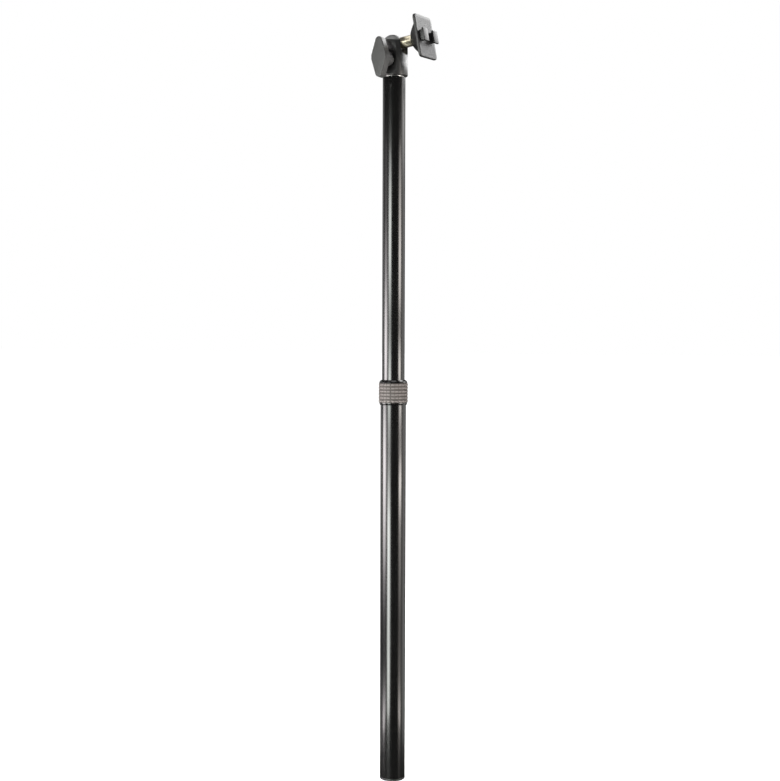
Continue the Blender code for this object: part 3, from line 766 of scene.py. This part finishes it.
def makeHousing():
    low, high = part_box("head_housing")
    outer = high.x
    corners = [(0.0, low.z, 0.0), (outer, low.z, housingSizes["foot"]),
               (outer, high.z, housingSizes["rim"]), (0.0, high.z, 0.0)]
    housing = turned("headHousing", corners, finishes["black_plastic"], 128, steps=5)
    spot = housingSizes["spotDepth"]
    far = outer + housingSizes["spotClear"] - spot
    reach = spot + housingSizes["screwClear"] - housingSizes["screwInner"]
    below, above = low.z - housingSizes["studBelow"], low.z + housingSizes["studDepth"]
    stud = [(0.0, below, 0.0), (housingSizes["studHole"], below, 0.0),
            (housingSizes["studHole"], above, 0.0), (0.0, above, 0.0)]
    face = [(0.0, 0.0, 0.0), (housingSizes["spotRadius"], 0.0, housingSizes["spotRound"]),
            (housingSizes["spotRadius"], far, 0.0), (0.0, far, 0.0)]
    hole = [(0.0, 0.0, 0.0), (housingSizes["screwHole"], 0.0, 0.0),
            (housingSizes["screwHole"], reach, 0.0), (0.0, reach, 0.0)]
    tools = [pocketTool(), turned("studTool", stud, None, 32), notchTool(outer, high.z),
             turned("spotTool", face, None, 72, alongKnob(spot)),
             turned("screwTool", hole, None, 32, alongKnob(housingSizes["screwInner"]))]
    combine(housing, tools, "DIFFERENCE")
    soften(housing, housingSizes["softness"])
    settle(housing, "upper_pole", ["head_housing"])


makeUpperTube()
makeTopRing()
makeHousing()
print("upper pole made")


# Clamp knob

knobSizes = {"halfLength": 22.1 * mm, "halfWidth": 9.3 * mm, "tip": 4.2 * mm, "flat": 2.2 * mm,
             "thickness": 10.1 * mm, "crown": 0.15 * mm, "frontRound": 0.9 * mm, "backRound": 0.8 * mm,
             "support": 0.12 * mm, "leastTip": 0.25 * mm, "tipStart": 18, "tipSweep": 144,
             "crownLift": 0.01 * mm, "crownRim": 1.2 * mm, "crownShares": (0.35, 0.7, 1.0),
             "washer": 0.6 * mm, "hubLength": 14.4 * mm, "hubFoot": 5.6 * mm, "hubFootEdge": 0.4 * mm,
             "hubRadius": 8.1 * mm, "hubFlare": 4.7 * mm, "hubRound": 0.9 * mm, "hubBury": 3 * mm,
             "hole": 3.2 * mm, "holeDepth": 9.4 * mm, "holeClear": 1 * mm}


def knobOutline(inset):  # a long rhomb with cut sides and round tips
    half = knobSizes["halfWidth"] - inset
    tip = max(knobSizes["tip"] - inset, knobSizes["leastTip"])
    reach = knobSizes["halfLength"] - knobSizes["tip"]
    flat = knobSizes["flat"]
    side = rounded([(half, -flat, 0.0), (half, flat, 0.0)], 1)
    steps = 10
    for i in range(steps + 1):
        angle = radians(knobSizes["tipStart"] + knobSizes["tipSweep"] * i / steps)
        side.append(Vector((tip * cos(angle), reach + tip * sin(angle))))
    return side + [-point for point in side]


def makeKnob():
    hubStart = housingSizes["spotDepth"] + knobSizes["washer"] + 2 * touchGap
    barStart = hubStart + knobSizes["hubLength"]
    front, rear = knobSizes["frontRound"], knobSizes["backRound"]
    face = barStart + knobSizes["thickness"] - knobSizes["crown"]
    levels = []
    steps = 5
    for i in range(steps + 1):
        angle = pi / 2 * i / steps
        levels.append((knobOutline(rear * (1 - sin(angle))), barStart + rear * (1 - cos(angle))))
    support = knobSizes["support"]  # extra rings keep the flats flat beside the rounded edges
    levels += [(knobOutline(0.0), barStart + rear + support), (knobOutline(0.0), face - front - support)]
    for i in range(steps + 1):
        angle = pi / 2 * i / steps
        levels.append((knobOutline(front * (1 - cos(angle))), face - front * (1 - sin(angle))))
    levels.append((knobOutline(front + support), face + knobSizes["crownLift"]))
    for share in knobSizes["crownShares"]:  # the face is slightly crowned
        inset = front + (knobSizes["halfWidth"] - front - knobSizes["crownRim"]) * share
        levels.append((knobOutline(inset), face + knobSizes["crown"] * (1 - (1 - share) ** 2)))
    knob = lofted("clampKnob", levels, finishes["grey_plastic"], alongKnob())
    buried = barStart + knobSizes["hubBury"]
    hub = [(0.0, hubStart, 0.0), (knobSizes["hubFoot"], hubStart, knobSizes["hubFootEdge"]),
           (knobSizes["hubRadius"], hubStart + knobSizes["hubFlare"], knobSizes["hubRound"]),
           (knobSizes["hubRadius"], buried, 0.0), (0.0, buried, 0.0)]
    combine(knob, [turned("hubTool", hub, finishes["grey_plastic"], 80, alongKnob())], "UNION")
    deep = housingSizes["spotDepth"] + knobSizes["washer"] + knobSizes["holeDepth"]
    near = hubStart - knobSizes["holeClear"]
    hole = [(0.0, near, 0.0), (knobSizes["hole"], near, 0.0),
            (knobSizes["hole"], deep, 0.0), (0.0, deep, 0.0)]
    combine(knob, [turned("holeTool", hole, None, 32, alongKnob())], "DIFFERENCE")
    settle(knob, "knob", ["clamp_knob"])


makeKnob()
print("clamp knob made")


# Ball, stud and device plate

studOut = Vector(mounts["plate_face"]["axis"]).normalized()
studAcross = -Vector(joints["ball_tilt"]["axis"]).normalized()
studTurn = Matrix((studAcross, studOut.cross(studAcross), studOut)).transposed().to_4x4()
plateSizes = {"face": 41.0 * mm, "back": 37.9 * mm, "side": 47.4 * mm, "corner": 4.5 * mm, "edge": 0.8 * mm,
              "hubStart": 25.2 * mm, "hubNeck": 7.2 * mm, "hubInset": 2.2 * mm, "hexFlats": 11.5 * mm,
              "hexStart": 10.6 * mm, "hexBury": 3.0 * mm, "insert": 5.3 * mm, "toolClear": 1 * mm,
              "swell": 0.72, "squaring": 0.3, "nearlyRound": 0.999, "spin": radians(4.05)}
# +Z leaves the ball, +Y runs up the plate
onStud = Matrix.Translation(ballCentre) @ studTurn @ Matrix.Rotation(plateSizes["spin"], 4, "Z")
tabSizes = {"width": 13.0 * mm, "height": 14.0 * mm, "proud": 6.2 * mm, "cap": 2.2 * mm,
            "stemWidth": 9.0 * mm, "stemHeight": 11.0 * mm, "offset": 14.2 * mm, "edge": 0.5 * mm,
            "bury": 1.6 * mm, "overlap": 1.0 * mm}
grooveSizes = {"Count": 20, "Pitch": 2.0 * mm, "Width": 0.55 * mm, "Depth": 0.4 * mm, "Length": 41.0 * mm}


def makeBall():
    radius, flat = ballSizes["radius"], ballSizes["flat"]
    first = asin(flat / radius)
    outline = [(0.0, -radius)]
    steps = 40
    for i in range(1, steps + 1):
        angle = -pi / 2 + (first + pi / 2) * i / steps
        outline.append((radius * cos(angle), radius * sin(angle)))
    floor = ballSizes["holeFloor"]
    outline += [(ballSizes["hole"], flat), (ballSizes["hole"], floor), (0.0, floor)]
    bm = bmesh.new()
    turnInto(bm, outline, 80, onStud)
    ball = pieceFrom(bm, "pivotBall", finishes["satin_ball"])
    settle(ball, "ball", ["pivot_ball"])


def hexagon(flats):
    return [Vector((cos(pi / 3 * i), sin(pi / 3 * i))) * flats / 2 / cos(pi / 6) for i in range(6)]


def makeStud():  # a hexagon bar with turned chamfers, on a plain rod that stands for its threads
    sizes = {"chamfer": 0.8 * mm, "beyond": 0.1 * mm, "cornerCut": 0.2 * mm, "rod": 3.0 * mm,
             "rodLow": 2.4 * mm, "rodHigh": 35.0 * mm, "rodEdge": 0.5 * mm, "soft": 0.18 * mm,
             "softAngle": 30.0}
    flats = plateSizes["hexFlats"]
    start, end = plateSizes["hexStart"], plateSizes["hubStart"] + plateSizes["hexBury"]
    stud = lofted("ballStud", [(hexagon(flats), start), (hexagon(flats), end)], finishes["brass"], onStud)
    wide = flats / 2 / cos(pi / 6) + sizes["cornerCut"]
    narrow = flats / 2 - sizes["beyond"]
    low, high = start - sizes["beyond"], end + sizes["beyond"]
    blank = [(0.0, low, 0.0), (narrow, low, 0.0), (wide, start + sizes["chamfer"], 0.0),
             (wide, end - sizes["chamfer"], 0.0), (narrow, high, 0.0), (0.0, high, 0.0)]
    combine(stud, [turned("blankTool", blank, None, 72, onStud)], "INTERSECT")
    thread = [(0.0, sizes["rodLow"], 0.0), (sizes["rod"], sizes["rodLow"], sizes["rodEdge"]),
              (sizes["rod"], sizes["rodHigh"], sizes["rodEdge"]), (0.0, sizes["rodHigh"], 0.0)]
    combine(stud, [turned("threadTool", thread, finishes["brass"], 32, onStud)], "UNION")
    soften(stud, sizes["soft"], 2, sizes["softAngle"])
    settle(stud, "plate", ["ball_stud"])


def roundedSquare(half, corner, steps=10):
    corners = [(half, -half, corner), (half, half, corner), (-half, half, corner), (-half, -half, corner)]
    return rounded(corners, steps)


def makePlateHub():  # swells from a round neck into a rounded square
    levels = []
    steps = 18
    depth = plateSizes["back"] - touchGap - plateSizes["hubStart"]
    foot = plateSizes["side"] / 2 - plateSizes["hubInset"]
    for i in range(steps + 1):
        t = i / steps
        half = plateSizes["hubNeck"] + (foot - plateSizes["hubNeck"]) * t ** plateSizes["swell"]
        corner = half * plateSizes["nearlyRound"] * (1 - plateSizes["squaring"] * t)
        levels.append((roundedSquare(half, corner), plateSizes["hubStart"] + depth * t))
    hub = lofted("plateHub", levels, finishes["plate_plastic"], onStud)
    shelf = plateSizes["hubStart"] + plateSizes["hexBury"] + touchGap
    clear = plateSizes["toolClear"]
    outline = hexagon(plateSizes["hexFlats"] + 2 * touchGap)
    levels = [(outline, plateSizes["hubStart"] - clear), (outline, shelf)]
    hexTool = lofted("hexTool", levels, None, onStud)
    low, high = shelf - clear, plateSizes["back"] + clear
    bore = [(0.0, low, 0.0), (plateSizes["insert"], low, 0.0),
            (plateSizes["insert"], high, 0.0), (0.0, high, 0.0)]
    combine(hub, [hexTool, turned("boreTool", bore, None, 36, onStud)], "DIFFERENCE")
    settle(hub, "plate", ["plate_hub"])


def grooveTree():  # a comb of thin wedges, in the plate's own plane
    shares = {"middle": 0.7, "slope": 0.3}
    group = bpy.data.node_groups.new("GrooveComb", "GeometryNodeTree")
    face = group.interface
    face.new_socket("Geometry", in_out="INPUT", socket_type="NodeSocketGeometry")
    face.new_socket("Count", in_out="INPUT", socket_type="NodeSocketInt")
    for name in ("Pitch", "Width", "Depth", "Length"):
        face.new_socket(name, in_out="INPUT", socket_type="NodeSocketFloat")
    face.new_socket("Finish", in_out="INPUT", socket_type="NodeSocketMaterial")
    face.new_socket("Geometry", in_out="OUTPUT", socket_type="NodeSocketGeometry")
    tree = NodeTree(group)
    given = tree.node("NodeGroupInput")
    index = tree.node("GeometryNodeInputIndex")
    place = (index - (given["Count"] - 1.0) * 0.5) * given["Pitch"]
    spot = tree.node("ShaderNodeCombineXYZ", None, {"X": place})
    points = tree.node("GeometryNodePoints", None, {"Count": given["Count"], "Position": spot})
    inputs = {"X": given["Width"], "Y": given["Length"], "Z": given["Depth"] * 2.0}
    size = tree.node("ShaderNodeCombineXYZ", None, inputs)
    bar = tree.node("GeometryNodeMeshCube", None, {"Size": size})
    parts = tree.node("ShaderNodeSeparateXYZ", None, {"Vector": tree.node("GeometryNodeInputPosition")})
    narrow = shares["middle"] + parts["Z"] / given["Depth"] * shares["slope"]
    inputs = {"X": parts["X"] * narrow, "Y": parts["Y"], "Z": parts["Z"]}
    shaped = tree.node("ShaderNodeCombineXYZ", None, inputs)
    wedge = tree.node("GeometryNodeSetPosition", None, {"Geometry": bar, "Position": shaped})
    copies = tree.node("GeometryNodeInstanceOnPoints", None, {"Points": points, "Instance": wedge})
    real = tree.node("GeometryNodeRealizeInstances", None, {"Geometry": copies})
    coloured = tree.node("GeometryNodeSetMaterial", None, {"Geometry": real, "Material": given["Finish"]})
    tree.node("NodeGroupOutput", None, {"Geometry": coloured})
    return group


def roundedBlock(name, width, height, start, end, offset, edge):
    def ring(inset):
        x, y, corner = width / 2 - inset, height / 2 - inset, edge * 1.4
        points = rounded([(x, -y, corner), (x, y, corner), (-x, y, corner), (-x, -y, corner)], 3)
        return [Vector((point.x + offset, point.y)) for point in points]
    levels = [(ring(edge * 0.7), start), (ring(0.0), start + edge * 0.7),
              (ring(0.0), end - edge), (ring(edge * 0.3), end - edge * 0.3), (ring(edge), end)]
    return lofted(name, levels, finishes["plate_plastic"], onStud)


def makePlate():
    half, edge = plateSizes["side"] / 2, plateSizes["edge"]
    back, face = plateSizes["back"], plateSizes["face"]
    levels = [(roundedSquare(half - edge * 0.5, plateSizes["corner"]), back),
              (roundedSquare(half, plateSizes["corner"]), back + edge * 0.5)]
    steps = 4
    for i in range(steps + 1):
        angle = pi / 2 * i / steps
        levels.append((roundedSquare(half - edge * (1 - cos(angle)), plateSizes["corner"]),
                       face - edge * (1 - sin(angle))))
    plate = lofted("devicePlate", levels, finishes["plate_plastic"], onStud)
    comb = pieceFrom(bmesh.new(), "combTool", finishes["plate_plastic"])
    runTree(comb, grooveTree(), dict(grooveSizes, Finish=finishes["plate_plastic"]))
    comb.data.transform(onStud @ Matrix.Translation((0.0, 0.0, face)))
    combine(plate, [comb], "DIFFERENCE")
    capStart, top = face + tabSizes["proud"] - tabSizes["cap"], face + tabSizes["proud"]
    blocks = []
    for side, offset in (("left", -tabSizes["offset"]), ("right", tabSizes["offset"])):
        blocks.append(roundedBlock(side + "Stem", tabSizes["stemWidth"], tabSizes["stemHeight"],
                                   face - tabSizes["bury"], capStart + tabSizes["overlap"], offset,
                                   tabSizes["edge"]))
        blocks.append(roundedBlock(side + "Cap", tabSizes["width"], tabSizes["height"],
                                   capStart, top, offset, tabSizes["edge"]))
    combine(plate, blocks, "UNION")
    settle(plate, "plate", ["device_plate"])


makeBall()
makeStud()
makePlateHub()
makePlate()
print("ball and plate made")

# Inner pieces keep their shape and get a finish of their own
carried = {"clamp_collet": "pale_nylon", "slip_ring": "pale_nylon", "guide_bush": "pale_nylon",
           "top_plug": "bright_metal", "head_stud": "dark_metal", "seat_wedge": "dark_metal",
           "ball_seat": "pale_nylon", "pressure_pin": "dark_metal", "knob_screw": "bright_metal",
           "knob_washer": "pale_nylon", "plate_insert": "brass"}
for node, finish in carried.items():
    for slot in frame["nodes"][node].material_slots:
        slot.material = finishes[finish]
print("inner pieces finished")
